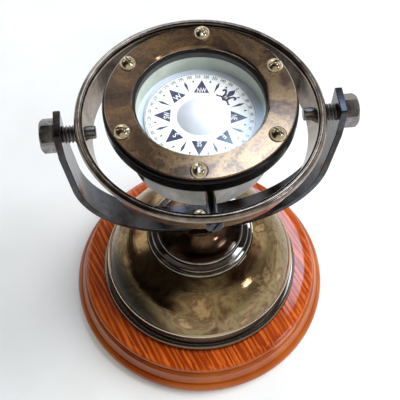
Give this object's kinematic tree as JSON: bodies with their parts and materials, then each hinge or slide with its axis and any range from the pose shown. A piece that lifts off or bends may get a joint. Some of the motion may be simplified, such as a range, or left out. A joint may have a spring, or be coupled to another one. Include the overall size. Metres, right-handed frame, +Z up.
{
  "type": "gimbal compass",
  "caption": "Desk compass whose glazed bowl hangs level in a gimbal ring, carried by a U-shaped yoke on a domed brass foot and a turned, lacquered wooden base.",
  "frame": {"origin": "centre of the underside of the felt, on the surface that the compass stands on", "axes": "+X along the outer pivots, +Y along the inner pivots towards the rear, +Z up through the stand"},
  "size_m": [0.15, 0.15, 0.1782],
  "materials": {
    "felt": "dark green felt",
    "wood": "red-brown gloss lacquer over straight grain",
    "old_brass": "dark mottled antique patina, polished",
    "bright_brass": "polished",
    "dark_brass": "dark grey-brown antique patina, polished",
    "zinc": "zinc plated",
    "gun_metal": "blackened, half gloss",
    "blue_steel": "blued",
    "white_metal": "nickel-grey, polished",
    "black_gloss": "black gloss lacquer",
    "ballast_metal": "as cast",
    "pale_blue": "pale blue",
    "grey_green": "grey-green",
    "black_rubber": "black",
    "clear_glass": "clear",
    "card_white": "printed card",
    "float_white": "white",
    "magnet_steel": "dull",
    "red_jewel": "clear red"
  },
  "bodies": {
    "stand": {"felt_pad": "felt", "wooden_base": "wood", "base_bolt": "zinc", "base_washer": "zinc", "dome_foot": "old_brass", "dome_collar": "old_brass", "pedestal_neck": "dark_brass", "yoke": "gun_metal", "yoke_screw": "bright_brass", "pivot_bolt_left": "gun_metal", "pivot_bolt_right": "gun_metal"},
    "ring": {"gimbal_ring": "dark_brass", "inner_pivot_front": "blue_steel", "inner_pivot_rear": "blue_steel"},
    "bowl": {"bowl": "white_metal", "bowl_flange": "black_gloss", "trunnion_front": "bright_brass", "trunnion_rear": "bright_brass", "ballast": "ballast_metal", "filler_plug": "bright_brass", "well_plate": "pale_blue", "bowl_liner": "grey_green", "gasket": "black_rubber", "glass": "clear_glass", "bezel": "old_brass", "bezel_screws": "bright_brass", "needle_post": "bright_brass", "needle": "zinc"},
    "card": {"compass_card": "card_white", "float_dome": "float_white", "float_cup": "float_white", "magnets": "magnet_steel", "jewel_cup": "red_jewel"}
  },
  "joints": [
    {"name": "outer_gimbal", "type": "hinge", "parent": "stand", "child": "ring", "pos_m": [0, 0, 0.1575], "axis": [1, 0, 0], "continuous": true},
    {"name": "inner_gimbal", "type": "hinge", "parent": "ring", "child": "bowl", "pos_m": [0, 0, 0.1575], "axis": [0, 1, 0], "continuous": true},
    {"name": "card_spin", "type": "hinge", "parent": "bowl", "child": "card", "pos_m": [0, 0, 0.1603], "axis": [0, 0, 1], "continuous": true}
  ]
}
